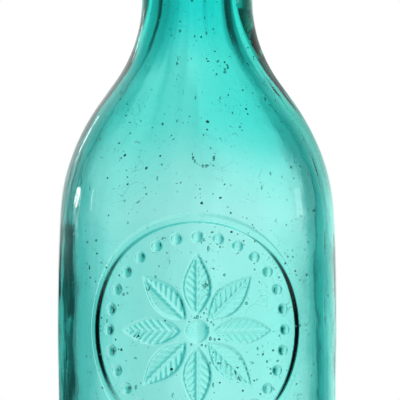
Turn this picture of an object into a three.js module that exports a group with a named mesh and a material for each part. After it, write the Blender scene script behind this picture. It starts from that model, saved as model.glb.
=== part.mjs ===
// Blob-top soda bottle: a mould-blown glass body, a thick glass lip applied to its neck, a cork driven into
// the bore, and a wire fastener whose bail swings over the cork to hold it down.
// Millimetres, +Z up. The origin is on the bottle's axis, at the level of the ring that it stands on.
import * as THREE from "three";

// Glass body
const BODY_DIAMETER = 63.1;
const BODY_HEIGHT = 101.2; // from the standing ring to the spring of the shoulder
const BODY_WALL = 3.6;
const HEEL_RADIUS = 5;
const INNER_HEEL_RADIUS = 5;
const STANDING_RING_WIDTH = 6.5;
const BASE_THICKNESS = 7;
const PUSH_UP_DEPTH = 6;

// Shoulder: a convex arc, a straight cone and a concave arc, each tangent to the next
const SHOULDER_ARC_RADIUS = 49.5;
const SHOULDER_SLOPE = THREE.MathUtils.degToRad(35.8); // of the cone, from upright
const SHOULDER_WALL = 3.6;
const NECK_FLARE_RADIUS = 32.5;

// Neck and applied lip
const BORE_DIAMETER = 15.2;
const NECK_WALL = 5;
const NECK_LENGTH = 10.5; // from the end of the flare to the underside of the lip
const LIP_HEIGHT = 20.5;
const LIP_OVERHANG = 4.2; // how far the blob stands out past the neck
const LIP_WIDEST_HEIGHT = 8.5; // of the fullest ring of the blob, above its underside
const LIP_SKIRT = 0.9; // thickness of the lip's lower edge, outside the neck
const LIP_LAND_WIDTH = 2.2; // flat top of the lip, between the blob's curve and the mouth
const LIP_SEAT_DEPTH = 3.5; // how far the neck's end reaches up into the lip
const MOUTH_ROUNDING = 1.4;
const GLASS_SEAM = 0.05;

// Cork
const CORK_SHANK_LENGTH = 17; // below the top of the lip
const CORK_CLEARANCE = 0.15;
const CORK_TAPER = 0.5; // radius lost from the lip down to the cork's lower end
const CORK_EDGE = 0.6;
const CORK_HEAD_SWELL = 1.3; // how far the head grows past the bore's radius
const CORK_SWELL_HEIGHT = 1.6;
const CORK_FLANK_HEIGHT = 2.4;
const CORK_CROWN_HEIGHT = 3.6;

// Neck wire: one turn round the neck, an eye at each side and a twisted tail at the back
const NECK_WIRE_DIAMETER = 1.8;
const NECK_WIRE_CLEARANCE = 0.2;
const WIRE_SELF_GAP = 0.75;
const EYE_TO_LIP = 0.9;
const EYE_PIN_CLEARANCE = 0.45;
const TWIST_LENGTH = 8;
const TWIST_TURNS = 1;

// Bail
const BAIL_WIRE_DIAMETER = 2.3;
const BAIL_SIDE_CLEARANCE = 0.6; // from the lip, and from the eyes
const BAIL_TO_CORK = 0.8;
const BAIL_BAR_LENGTH = 21;
const BAIL_KNEE_DROP = 4.5; // the arms lean in from this far below the top of the lip
const BAIL_BEND_RADIUS = 6;
const BAIL_ELBOW_RADIUS = 2.2;
const PIN_TO_NECK = 0.5;

// Fineness of the facets
const LATHE_SEGMENTS = 40;
const CHORD_ERROR = 0.06; // most that a profile's facet departs from its arc
const WIRE_SIDES = 8;
const WIRE_STEP = 1.6;
const EYE_POINTS = 16;
const RING_POINTS = 8;
const TWIST_POINTS = 8;

// Heights and radii that follow from the sizes above
const bodyRadius = BODY_DIAMETER / 2;
const boreRadius = BORE_DIAMETER / 2;
const neckRadius = boreRadius + NECK_WALL;
const lipRadius = neckRadius + LIP_OVERHANG;
const neckFoot = BODY_HEIGHT + shoulderHeight(bodyRadius, neckRadius, SHOULDER_ARC_RADIUS, NECK_FLARE_RADIUS);
const lipFoot = neckFoot + NECK_LENGTH;
const lipWidest = lipFoot + LIP_WIDEST_HEIGHT;
const lipTop = lipFoot + LIP_HEIGHT;
const corkHeadTop = lipTop + CORK_SWELL_HEIGHT + CORK_FLANK_HEIGHT;
const corkTop = corkHeadTop + CORK_CROWN_HEIGHT;
const neckWireRadius = NECK_WIRE_DIAMETER / 2;
const bailWireRadius = BAIL_WIRE_DIAMETER / 2;
const eyeRadius = bailWireRadius + EYE_PIN_CLEARANCE + neckWireRadius;
const wirePitch = NECK_WIRE_DIAMETER + WIRE_SELF_GAP;
const ringRadius = neckRadius + NECK_WIRE_CLEARANCE + neckWireRadius;
const pivotHeight = lipFoot - EYE_TO_LIP - neckWireRadius - eyeRadius;
const ringHeight = pivotHeight - eyeRadius;

// A shoulder with no room for its cone has arcs that meet at a gentler slope.
function shoulderSlope(drop, arcs) {
  return Math.min(SHOULDER_SLOPE, Math.acos(1 - drop / arcs));
}

// Height taken by a shoulder that runs in from one radius to another.
function shoulderHeight(outerRadius, innerRadius, convexRadius, concaveRadius) {
  const drop = outerRadius - innerRadius;
  const arcs = convexRadius + concaveRadius;
  const slope = shoulderSlope(drop, arcs);
  const coneDrop = drop - arcs * (1 - Math.cos(slope));
  return arcs * Math.sin(slope) + coneDrop / Math.tan(slope);
}

// Points made at evenly spaced places along a line, from 0 at its start to 1 at its end.
function sample(steps, makePoint) {
  return Array.from({ length: steps + 1 }, (_, i) => makePoint(i / steps));
}

// Points along an ellipse's arc in the profile plane, ends included.
function arc(centreR, centreZ, radiusR, radiusZ, start, end) {
  const facet = 2 * Math.acos(1 - CHORD_ERROR / Math.max(radiusR, radiusZ));
  return sample(Math.ceil(Math.abs(end - start) / facet), (along) => {
    const angle = THREE.MathUtils.lerp(start, end, along);
    return new THREE.Vector2(centreR + radiusR * Math.cos(angle), centreZ + radiusZ * Math.sin(angle));
  });
}

// A shoulder's profile from the body up to the neck, where it turns upright at the given height.
function shoulder(outerRadius, innerRadius, convexRadius, concaveRadius, top) {
  const slope = shoulderSlope(outerRadius - innerRadius, convexRadius + concaveRadius);
  const foot = top - shoulderHeight(outerRadius, innerRadius, convexRadius, concaveRadius);
  const convexCentre = outerRadius - convexRadius;
  const concaveCentre = innerRadius + concaveRadius;
  return [
    ...arc(convexCentre, foot, convexRadius, convexRadius, 0, slope),
    ...arc(concaveCentre, top, concaveRadius, concaveRadius, Math.PI + slope, Math.PI),
  ];
}

// A shallow spherical dome from its middle out to its rim, which lies at the given height.
function dome(rimRadius, rise, rimHeight) {
  const sphere = (rimRadius ** 2 + rise ** 2) / (2 * rise);
  const reach = Math.asin(rimRadius / sphere);
  return arc(0, rimHeight + rise - sphere, sphere, sphere, Math.PI / 2, Math.PI / 2 - reach);
}

// Turns a profile of (radius, height) points about the Z axis.
function lathe(profile) {
  return new THREE.LatheGeometry(profile, LATHE_SEGMENTS).rotateX(Math.PI / 2);
}

// A round wire of the given radius along a curve.
function wire(curve, radius) {
  const corners = sample(WIRE_SIDES, (along) => {
    const angle = 2 * Math.PI * along;
    return new THREE.Vector2(radius * Math.cos(angle), radius * Math.sin(angle));
  });
  const section = new THREE.Shape(corners.slice(0, WIRE_SIDES));
  const steps = Math.ceil(curve.getLength() / WIRE_STEP);
  return new THREE.ExtrudeGeometry(section, { extrudePath: curve, steps });
}

// Straight stretches between corners, with each inner corner rounded to its own radius.
function bentWire(corners, bendRadii) {
  const path = new THREE.CurvePath();
  let start = corners[0];
  bendRadii.forEach((bendRadius, i) => {
    const corner = corners[i + 1];
    const back = corners[i].clone().sub(corner).normalize();
    const ahead = corners[i + 2].clone().sub(corner).normalize();
    const setBack = bendRadius / Math.tan(back.angleTo(ahead) / 2);
    const bendStart = corner.clone().addScaledVector(back, setBack);
    const bendEnd = corner.clone().addScaledVector(ahead, setBack);
    path.add(new THREE.LineCurve3(start, bendStart));
    path.add(new THREE.QuadraticBezierCurve3(bendStart, corner, bendEnd));
    start = bendEnd;
  });
  path.add(new THREE.LineCurve3(start, corners.at(-1)));
  return path;
}

function glassBody() {
  const innerRadius = bodyRadius - BODY_WALL;
  const innerConvex = SHOULDER_ARC_RADIUS - SHOULDER_WALL;
  const innerConcave = NECK_FLARE_RADIUS + SHOULDER_WALL;
  // The inner shoulder is raised until the cone's wall has its stated thickness.
  const levelWall = SHOULDER_WALL + (NECK_WALL - SHOULDER_WALL) * Math.cos(SHOULDER_SLOPE);
  const innerTop = neckFoot + (levelWall - SHOULDER_WALL) / Math.sin(SHOULDER_SLOPE);
  const neckEnd = lipFoot + LIP_SEAT_DEPTH;
  const heelCentre = bodyRadius - HEEL_RADIUS;
  const innerHeelCentre = innerRadius - INNER_HEEL_RADIUS;
  const innerHeelHeight = BASE_THICKNESS + INNER_HEEL_RADIUS;
  const outside = [
    ...dome(heelCentre - STANDING_RING_WIDTH, PUSH_UP_DEPTH, 0),
    ...arc(heelCentre, HEEL_RADIUS, HEEL_RADIUS, HEEL_RADIUS, -Math.PI / 2, 0),
    ...shoulder(bodyRadius, neckRadius, SHOULDER_ARC_RADIUS, NECK_FLARE_RADIUS, neckFoot),
    new THREE.Vector2(neckRadius, neckEnd),
  ];
  const inside = [
    ...dome(innerHeelCentre, PUSH_UP_DEPTH, BASE_THICKNESS).slice(0, -1),
    ...arc(innerHeelCentre, innerHeelHeight, INNER_HEEL_RADIUS, INNER_HEEL_RADIUS, -Math.PI / 2, 0),
    ...shoulder(innerRadius, boreRadius, innerConvex, innerConcave, innerTop),
    new THREE.Vector2(boreRadius, neckEnd),
  ];
  return lathe([...outside, ...inside.reverse()]);
}

function blobLip() {
  const socketRadius = neckRadius + GLASS_SEAM;
  const seatHeight = lipFoot + LIP_SEAT_DEPTH + GLASS_SEAM;
  const skirtRadius = neckRadius + LIP_SKIRT;
  const mouthCentre = boreRadius + MOUTH_ROUNDING;
  const landRadius = mouthCentre + LIP_LAND_WIDTH;
  const lowerCurve = lipRadius - skirtRadius;
  const upperCurve = lipRadius - landRadius;
  const mouthHeight = lipTop - MOUTH_ROUNDING;
  const profile = [
    new THREE.Vector2(socketRadius, lipFoot),
    ...arc(skirtRadius, lipWidest, lowerCurve, LIP_WIDEST_HEIGHT, -Math.PI / 2, 0),
    ...arc(landRadius, lipWidest, upperCurve, lipTop - lipWidest, 0, Math.PI / 2).slice(1),
    ...arc(mouthCentre, mouthHeight, MOUTH_ROUNDING, MOUTH_ROUNDING, Math.PI / 2, Math.PI),
    new THREE.Vector2(boreRadius, seatHeight),
    new THREE.Vector2(socketRadius, seatHeight),
  ];
  return lathe([...profile, profile[0].clone()]);
}

function corkStopper() {
  const shankRadius = boreRadius - CORK_CLEARANCE;
  const endRadius = shankRadius - CORK_TAPER;
  const headRadius = boreRadius + CORK_HEAD_SWELL;
  const foot = lipTop - CORK_SHANK_LENGTH;
  return lathe([
    new THREE.Vector2(0, foot),
    new THREE.Vector2(endRadius - CORK_EDGE, foot),
    new THREE.Vector2(endRadius, foot + CORK_EDGE),
    new THREE.Vector2(shankRadius, lipTop),
    new THREE.Vector2(headRadius, lipTop + CORK_SWELL_HEIGHT),
    ...dome(headRadius, CORK_CROWN_HEIGHT, corkHeadTop).reverse(),
  ]);
}

// A point level with the neck ring, at an azimuth from +X.
function onRing(azimuth, radius) {
  return new THREE.Vector3(radius * Math.cos(azimuth), radius * Math.sin(azimuth), ringHeight);
}

// The ring's stretch between two azimuths, ends left out, easing in to the neck from an offset at its start.
function ringStretch(start, end, startOffset) {
  const points = sample(RING_POINTS, (along) => {
    const offset = (startOffset * (1 + Math.cos(Math.PI * along))) / 2;
    return onRing(THREE.MathUtils.lerp(start, end, along), ringRadius + offset);
  });
  return points.slice(1, -1);
}

// An eye: one turn in the plane that touches the neck, moving out by a wire's pitch on its way round.
function eyeTurn(azimuth) {
  const outward = new THREE.Vector3(Math.cos(azimuth), Math.sin(azimuth), 0);
  const forward = new THREE.Vector3(-outward.y, outward.x, 0);
  return sample(EYE_POINTS, (along) => {
    const turn = 2 * Math.PI * along;
    const point = onRing(azimuth, ringRadius);
    point.addScaledVector(forward, eyeRadius * Math.sin(turn));
    point.addScaledVector(outward, (wirePitch * (1 - Math.cos(Math.PI * along))) / 2);
    point.z += eyeRadius * (1 - Math.cos(turn));
    return point;
  });
}

// One strand of the twisted tail, from the neck outwards.
function tailStrand(phase) {
  const twistRadius = wirePitch / 2;
  return sample(TWIST_POINTS, (along) => {
    const angle = phase + 2 * Math.PI * TWIST_TURNS * along;
    return new THREE.Vector3(
      twistRadius * Math.cos(angle),
      ringRadius + twistRadius + TWIST_LENGTH * along,
      ringHeight + twistRadius * Math.sin(angle),
    );
  });
}

function neckWireCurve() {
  const back = Math.PI / 2;
  const left = Math.PI;
  const right = 2 * Math.PI;
  const tailTurn = wirePitch / ringRadius;
  return new THREE.CatmullRomCurve3([
    ...tailStrand(Math.PI).reverse(),
    ...ringStretch(back + tailTurn, left, 0),
    ...eyeTurn(left),
    ...ringStretch(left, right, wirePitch),
    ...eyeTurn(right),
    ...ringStretch(right, right + back - tailTurn, wirePitch),
    ...tailStrand(0),
  ]);
}

// Least gap between stretches of a wire that are over three diameters apart along it.
function leastSelfGap(curve, diameter) {
  const pointsPerDiameter = 4;
  const points = curve.getSpacedPoints(Math.ceil((curve.getLength() * pointsPerDiameter) / diameter));
  let least = Infinity;
  for (let i = 0; i < points.length; i++) {
    for (let j = i + 3 * pointsPerDiameter; j < points.length; j++) {
      least = Math.min(least, points[i].distanceTo(points[j]));
    }
  }
  return least - diameter;
}

function bailCurve() {
  const eyeOuter = ringRadius + wirePitch + neckWireRadius;
  const armReach = Math.max(lipRadius, eyeOuter) + BAIL_SIDE_CLEARANCE + bailWireRadius;
  const barHeight = corkTop + BAIL_TO_CORK + bailWireRadius;
  const rightSide = [
    new THREE.Vector3(neckRadius + PIN_TO_NECK, 0, pivotHeight),
    new THREE.Vector3(armReach, 0, pivotHeight),
    new THREE.Vector3(armReach, 0, lipTop - BAIL_KNEE_DROP),
    new THREE.Vector3(BAIL_BAR_LENGTH / 2, 0, barHeight),
  ];
  const leftSide = rightSide.map((corner) => new THREE.Vector3(-corner.x, corner.y, corner.z)).reverse();
  const rightBends = [BAIL_ELBOW_RADIUS, BAIL_BEND_RADIUS, BAIL_BEND_RADIUS];
  return bentWire([...rightSide, ...leftSide], [...rightBends, ...rightBends.toReversed()]);
}

function glassMaterial() {
  const teal = { color: 0x3fc9bb, roughness: 0.06, metalness: 0, transparent: true, opacity: 0.6 };
  return new THREE.MeshStandardMaterial(teal);
}

function wireMaterial(color, roughness) {
  return new THREE.MeshStandardMaterial({ color, roughness, metalness: 0.9 });
}

function piece(name, geometry, material) {
  const mesh = new THREE.Mesh(geometry, material);
  mesh.name = name;
  return mesh;
}

const neckWirePath = neckWireCurve();
const selfGap = leastSelfGap(neckWirePath, NECK_WIRE_DIAMETER);
console.log(`neck wire: least gap to itself ${selfGap.toFixed(2)} mm`);

const bottle = new THREE.Group();
bottle.add(
  piece("glass_body", glassBody(), glassMaterial()),
  piece("blob_lip", blobLip(), glassMaterial()),
  piece(
    "cork_stopper",
    corkStopper(),
    new THREE.MeshStandardMaterial({ color: 0xb0814f, roughness: 0.9, metalness: 0 }),
  ),
  piece("neck_wire", wire(neckWirePath, neckWireRadius), wireMaterial(0x6b675f, 0.5)),
  piece("wire_bail", wire(bailCurve(), bailWireRadius), wireMaterial(0x77726a, 0.45)),
);

export default bottle;
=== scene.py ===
import math
import random

import bmesh
import bpy
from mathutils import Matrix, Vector, noise


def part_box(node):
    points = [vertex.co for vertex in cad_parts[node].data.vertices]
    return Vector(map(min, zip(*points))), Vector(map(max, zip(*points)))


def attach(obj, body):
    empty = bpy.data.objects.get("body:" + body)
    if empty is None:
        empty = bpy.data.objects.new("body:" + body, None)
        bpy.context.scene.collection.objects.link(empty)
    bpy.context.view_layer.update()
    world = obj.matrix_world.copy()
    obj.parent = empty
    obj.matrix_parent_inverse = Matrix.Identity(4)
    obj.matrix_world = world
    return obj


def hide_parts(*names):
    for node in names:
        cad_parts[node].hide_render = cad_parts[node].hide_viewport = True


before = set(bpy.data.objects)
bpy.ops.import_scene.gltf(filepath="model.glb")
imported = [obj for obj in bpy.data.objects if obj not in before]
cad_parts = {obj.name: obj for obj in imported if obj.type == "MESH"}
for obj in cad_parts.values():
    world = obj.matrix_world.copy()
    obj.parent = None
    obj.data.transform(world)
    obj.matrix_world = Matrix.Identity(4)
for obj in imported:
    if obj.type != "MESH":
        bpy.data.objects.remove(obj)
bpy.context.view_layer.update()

MM = 0.001

# Glass body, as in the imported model
BODY_RADIUS = 31.55 * MM
BODY_WALL = 3.6 * MM
HEEL_RADIUS = 5 * MM
STANDING_RING_WIDTH = 6.5 * MM
BASE_THICKNESS = 7 * MM
PUSH_UP_DEPTH = 6 * MM
SHOULDER_ARC_RADIUS = 49.5 * MM
SHOULDER_SLOPE = math.radians(35.8)
SHOULDER_WALL = 3.6 * MM
NECK_FLARE_RADIUS = 32.5 * MM
BORE_RADIUS = 7.6 * MM
NECK_WALL = 5 * MM
NECK_RADIUS = BORE_RADIUS + NECK_WALL
NECK_LENGTH = 10.5 * MM

# Applied lip
LIP_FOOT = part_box("blob_lip")[0][2]
LIP_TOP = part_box("blob_lip")[1][2]
LIP_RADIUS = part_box("blob_lip")[1][0]
LIP_WIDEST_HEIGHT = 8.5 * MM
LIP_SKIRT = 0.9 * MM
LIP_LAND_WIDTH = 2.2 * MM
LIP_SEAT_DEPTH = 3.5 * MM
MOUTH_ROUNDING = 1.4 * MM
SEAM_OVERLAP = 0.06 * MM  # the lip's glass runs into the neck's, as fused glass does
NECK_END = LIP_FOOT + LIP_SEAT_DEPTH
NECK_FOOT = LIP_FOOT - NECK_LENGTH

# Cork
CORK_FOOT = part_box("cork_stopper")[0][2]
CORK_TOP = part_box("cork_stopper")[1][2]
CORK_HEAD_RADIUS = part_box("cork_stopper")[1][0]
CORK_GAP = 0.15 * MM
CORK_SHANK_RADIUS = BORE_RADIUS - CORK_GAP
CORK_TAPER = 0.5 * MM
CORK_EDGE = 0.6 * MM
CORK_SWELL_HEIGHT = 1.6 * MM
CORK_CROWN_HEIGHT = 3.6 * MM
PIT_SEED = 21
PIT_COUNT = 110
PIT_SIZES = (0.25 * MM, 0.8 * MM)
PIT_DEPTHS = (0.15 * MM, 0.45 * MM)
PIT_STRETCH = 1.8  # pits are wider round the cork than along it
PIT_FLOOR = 0.3  # the flat share of a pit's reach

# Wires
NECK_WIRE_RADIUS = 0.9 * MM
NECK_WIRE_GAP = 0.2 * MM
BAIL_WIRE_RADIUS = 1.15 * MM
WIRE_PITCH = 2.55 * MM
EYE_RADIUS = 2.5 * MM
RING_RADIUS = NECK_RADIUS + NECK_WIRE_GAP + NECK_WIRE_RADIUS
PIVOT_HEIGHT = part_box("wire_bail")[0][2] + BAIL_WIRE_RADIUS
RING_HEIGHT = PIVOT_HEIGHT - EYE_RADIUS
TWIST_LENGTH = 8 * MM
BAIL_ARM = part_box("wire_bail")[1][0] - BAIL_WIRE_RADIUS
BAIL_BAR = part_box("wire_bail")[1][2] - BAIL_WIRE_RADIUS
BAIL_PIN_GAP = 0.5 * MM
BAIL_PIN_END = NECK_RADIUS + BAIL_PIN_GAP
BAIL_KNEE_DROP = 4.5 * MM
BAIL_KNEE = LIP_TOP - BAIL_KNEE_DROP
BAIL_BAR_HALF = 10.5 * MM
BAIL_BEND_RADIUS = 6 * MM
BAIL_ELBOW_RADIUS = 2.2 * MM

# Raised ornament on the front, measured along the glass from its centre
ORNAMENT_HEIGHT = 80 * MM
ORNAMENT_RELIEF = 0.7 * MM
ORNAMENT_EDGE = 0.42 * MM
RING_STROKE = 1.7 * MM
ORNAMENT_RING = 24.2 * MM
BEAD_RING = 20.2 * MM
BEAD_RADIUS = 1.15 * MM
BEAD_COUNT = 28
PETAL_COUNT = 8
PETAL_START = 3.4 * MM
PETAL_END = 17 * MM
PETAL_HALF_WIDTH = 3.1 * MM
PETAL_EDGE = 1.6 * ORNAMENT_EDGE
PETAL_LEAN = 0.85  # below 1 a petal is widest nearer the centre
MIDRIB_HALF_WIDTH = 0.4 * MM
MIDRIB_DEPTH = 0.55
VEIN_SPACING = 1.5 * MM
VEIN_SHARPNESS = 8
VEIN_DEPTH = 0.3
BOSS_RADIUS = 2.4 * MM

# Outside of the blown glass
ORNAMENT_REACH = math.radians(48.5)
SEAM_AZIMUTH = math.radians(79)
SEAM_REACH = math.radians(2.5)
SEAM_HALF_WIDTH = 0.7 * MM
SEAM_HEIGHT = 0.035 * MM
SEAM_FADE = 20 * MM  # the seams die out over this height below the neck
OUTER_FADE = 8 * MM  # and the ripples and the barrel shape over this one
# The body's barrel shape: how far, at which height, and how far that reaches up and down
BODY_FULL = (0.27 * MM, 80 * MM, 14 * MM)
BODY_DRAWN_IN = (0.22 * MM, 104 * MM, 6 * MM)

# Inside of the blown glass
CAVITY_OFFSET = 0.35 * MM  # the body's wall is thicker on the right
BORE_OFFSET = 0.5 * MM  # and the neck's is more so
NECK_GATHER = 0.8 * MM  # glass gathered inside the foot of the neck
RIGHT_RIDGE = 2 * MM  # thick stripes down the inside, behind on the right and left
LEFT_RIDGE = 1.6 * MM
RIDGE_AZIMUTH = math.radians(140)
RIDGE_REACH = math.radians(34)
RIGHT_HOLLOW = 0.85 * MM  # a thin stripe behind the shoulder's right edge
HOLLOW_AZIMUTH = math.radians(112)
HOLLOW_REACH = math.radians(15)
FOLD_HEIGHT = 0.09 * MM
FOLD_CROWDING = 5  # more of it puts more folds round the inside
FOLD_LENGTH = 45 * MM
SIDE_CALM = 0.7  # the inside ripples less where the mould's halves met
SIDE_REACH = math.radians(18)
INNER_FADE = 12 * MM  # the ripples die out over this height below the neck

# Heights over which each unevenness of the inside comes in, and those over which it goes
CAVITY_RISE = (12 * MM, 30 * MM)
CAVITY_FALL = (NECK_FOOT, LIP_FOOT)
BORE_RISE = (112 * MM, 140 * MM)
GATHER_RISE = (112 * MM, 134 * MM)
RIGHT_RIDGE_RISE = (120 * MM, 140 * MM)
LEFT_RIDGE_RISE = (104 * MM, 124 * MM)
LEFT_RIDGE_FALL = (136 * MM, 145 * MM)
HOLLOW_RISE = (94 * MM, 104 * MM)
HOLLOW_FALL = (126 * MM, 136 * MM)
FOLD_RISE = (108 * MM, 130 * MM)

# Ripples: depth, size of a feature and seed
OUTER_RIPPLE = (0.05 * MM, 9 * MM, 3)
INNER_WAVE = (0.36 * MM, 26 * MM, 11)
INNER_RIPPLES = [(0.08 * MM, 9 * MM, 17), (0.03 * MM, 3.5 * MM, 29)]
LIP_RIPPLE = (0.12 * MM, 9 * MM, 23)
LIP_SHRINK = 0.15 * MM  # leaves the lip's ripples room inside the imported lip
LIP_LEAN = 0.18 * MM
LIP_LEAN_AZIMUTH = 0.7  # radians
CORK_SHRINK = 0.05 * MM
CORK_RIPPLE = (CORK_SHRINK, 1.6 * MM, 5)

# Seed bubbles in the glass: all over, in a streak and in a small curved chain
BUBBLE_SEED = 7
BUBBLE_COUNT = 520
BUBBLE_LOWEST = 20 * MM
BUBBLE_DEPTHS = (0.9 * MM, 2.4 * MM)
BUBBLE_LEAST = 0.06 * MM
BUBBLE_SPREAD = 0.22 * MM
BUBBLE_RARITY = 3  # more of it makes large bubbles rarer
BUBBLE_STRETCHES = (1, 2.4)
BUBBLE_SUBDIVISIONS = 2
STREAK_COUNT = 110
STREAK_AZIMUTH = math.radians(5)
STREAK_TURN = math.radians(4)
STREAK_HEIGHT = 86 * MM
STREAK_REACH = 9 * MM
CHAIN_COUNT = 30
CHAIN_RADIUS = 2.8 * MM
CHAIN_JITTER = 0.06  # radians
CHAIN_AZIMUTH = math.radians(3)
CHAIN_HEIGHT = 118 * MM

# Fineness of the meshes
FINE_STEP = 0.22 * MM
PLAIN_STEP = 1.3 * MM
INNER_STEP = 1.1 * MM
PLAIN_TURN = math.radians(1.8)
RIM_ROWS = 2  # rows beside the neck's end that stay plain, inside and out
LIP_STEP = 0.8 * MM
LIP_COLUMNS = 120
LIP_FOOT_ROWS = 3  # rows at the lip's foot and in its bore that stay plain
LIP_BORE_ROWS = 8
CORK_STEP = 0.4 * MM
CORK_COLUMNS = 140
ARC_STEPS = 24
SHOULDER_STEPS = 60
MOUTH_STEPS = 8
RING_STEPS = 8
EYE_STEPS = 16
TAIL_STEPS = 8
BEND_STEP = 0.7 * MM
BEND_LEAST_STEPS = 4
WIRE_ROUND_STEPS = 5
WIRE_LENGTH_STEPS = 6
WELD_DISTANCE = 0.002 * MM
ON_AXIS = 1e-7

# Photograph's frame
FRAME_WIDTH = 91.3 * MM
FRAME_CENTRE = (0.65 * MM, 108.1 * MM)
FOCAL_LENGTH = 200
SENSOR_WIDTH = 36
CLIP_START = 0.01


def part_way(start, end, share):
    return start + (end - start) * share


def smoothstep(low, high, x):
    t = min(max((x - low) / (high - low), 0), 1)
    return t * t * (3 - 2 * t)


def between(rise, fall, x):
    """1 from the end of the rise to the start of the fall, fading over both."""
    return smoothstep(*rise, x) * (1 - smoothstep(*fall, x))


def turn_between(start, end):
    """The turn from one azimuth to another, the short way round."""
    return (end - start + math.pi) % (2 * math.pi) - math.pi


def from_nearest(angle, count):
    """The angle from the nearest of a number of even directions."""
    pitch = 2 * math.pi / count
    return (angle + pitch / 2) % pitch - pitch / 2


def round_axis(radius, azimuth, height):
    """A point round the bottle's axis: azimuth 0 is the front and turns towards +X."""
    return (radius * math.sin(azimuth), -radius * math.cos(azimuth), height)


def arc(centre, radii, start, end, steps=ARC_STEPS):
    """Points (radius, height) along an ellipse's arc, angles in radians."""
    points = []
    for i in range(steps + 1):
        angle = part_way(start, end, i / steps)
        points.append((centre[0] + radii[0] * math.cos(angle), centre[1] + radii[1] * math.sin(angle)))
    return points


def dome(rim_radius, rise, rim_height):
    """A shallow dome's profile, from its middle to its rim."""
    sphere = (rim_radius ** 2 + rise ** 2) / (2 * rise)
    reach = math.asin(rim_radius / sphere)
    centre = (0, rim_height + rise - sphere)
    return arc(centre, (sphere, sphere), math.pi / 2, math.pi / 2 - reach)


def shoulder(body, neck, convex, concave, top):
    """A shoulder's profile: convex arc, cone and concave arc, upright again at its top."""
    arcs = convex + concave
    cone = body - neck - arcs * (1 - math.cos(SHOULDER_SLOPE))
    foot = top - arcs * math.sin(SHOULDER_SLOPE) - cone / math.tan(SHOULDER_SLOPE)
    lower = arc((body - convex, foot), (convex, convex), 0, SHOULDER_SLOPE, SHOULDER_STEPS)
    flare = (neck + concave, top)
    upper = arc(flare, (concave, concave), math.pi + SHOULDER_SLOPE, math.pi, SHOULDER_STEPS)
    return lower + upper


def resample(points, step_at):
    """The same line with points as far apart as step_at says for the height reached."""
    line = [points[0]]
    left = step_at(points[0][1])
    for start, end in zip(points, points[1:]):
        length = math.dist(start, end)
        done = 0
        while length - done >= left:
            done += left
            share = done / length
            line.append((part_way(start[0], end[0], share), part_way(start[1], end[1], share)))
            left = step_at(line[-1][1])
        left -= length - done
    if math.dist(line[-1], points[-1]) < step_at(points[-1][1]) / 2:
        line.pop()
    return line + [points[-1]]


def profile_normals(profile):
    """Unit vectors (radius, height) to the right of the way that the profile runs."""
    normals = []
    for i in range(len(profile)):
        before = profile[max(i - 1, 0)]
        after = profile[min(i + 1, len(profile) - 1)]
        run = (after[0] - before[0], after[1] - before[1])
        length = math.hypot(*run) or 1
        normals.append((run[1] / length, -run[0] / length))
    return normals


def turned_surface(profile, azimuths, displace):
    """Vertices and faces of a surface of revolution, moved along its normals by displace.

    displace(row, azimuth, radius, height) gives the move. A profile point on the axis becomes
    one vertex.
    """
    normals = profile_normals(profile)
    vertices = []
    rows = []
    for row, ((radius, height), normal) in enumerate(zip(profile, normals)):
        if radius < ON_AXIS:
            rows.append([len(vertices)] * len(azimuths))
            vertices.append((0, 0, height))
            continue
        indices = []
        for azimuth in azimuths:
            move = displace(row, azimuth, radius, height)
            indices.append(len(vertices))
            vertices.append(round_axis(radius + normal[0] * move, azimuth, height + normal[1] * move))
        rows.append(indices)
    faces = []
    for lower, upper in zip(rows, rows[1:]):
        for column in range(len(azimuths)):
            after = (column + 1) % len(azimuths)
            corners = [lower[column], lower[after], upper[after], upper[column]]
            faces.append(list(dict.fromkeys(corners)))
    return vertices, faces


def new_mesh(name, vertices, faces):
    mesh = bpy.data.meshes.new(name)
    mesh.from_pydata(vertices, [], faces)
    return mesh


def weld(mesh):
    """Joins vertices that lie on each other, and turns the faces outwards."""
    form = bmesh.new()
    form.from_mesh(mesh)
    bmesh.ops.remove_doubles(form, verts=form.verts, dist=WELD_DISTANCE)
    bmesh.ops.recalc_face_normals(form, faces=form.faces)
    form.to_mesh(mesh)
    form.free()


def add_piece(name, mesh, material, body, node):
    """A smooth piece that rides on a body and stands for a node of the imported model."""
    mesh.polygons.foreach_set("use_smooth", [True] * len(mesh.polygons))
    mesh.materials.append(material)
    piece = bpy.data.objects.new(name, mesh)
    bpy.context.scene.collection.objects.link(piece)
    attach(piece, body)
    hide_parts(node)


# Ornament: a beaded ring round a rosette

def stroke(distance, half_width):
    return 1 - smoothstep(half_width - ORNAMENT_EDGE / 2, half_width + ORNAMENT_EDGE / 2, distance)


def half_ball(distance, radius):
    """A rounded dome, 1 at its middle."""
    return math.sqrt(max(1 - (distance / radius) ** 2, 0))


def petal(radius, angle):
    """One leaf of the rosette, with a midrib and veins, repeated round the centre."""
    turn = from_nearest(angle, PETAL_COUNT)
    along = (radius * math.cos(turn) - PETAL_START) / (PETAL_END - PETAL_START)
    across = abs(radius * math.sin(turn))
    if not 0 < along < 1:
        return 0
    edge = PETAL_HALF_WIDTH * math.sin(math.pi * along ** PETAL_LEAN) - across
    midrib = 1 - MIDRIB_DEPTH * math.exp(-((across / MIDRIB_HALF_WIDTH) ** 2))
    vein = math.cos(math.pi * (radius - across) / VEIN_SPACING) ** VEIN_SHARPNESS
    return smoothstep(0, PETAL_EDGE, edge) * midrib * (1 - VEIN_DEPTH * vein)


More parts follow.
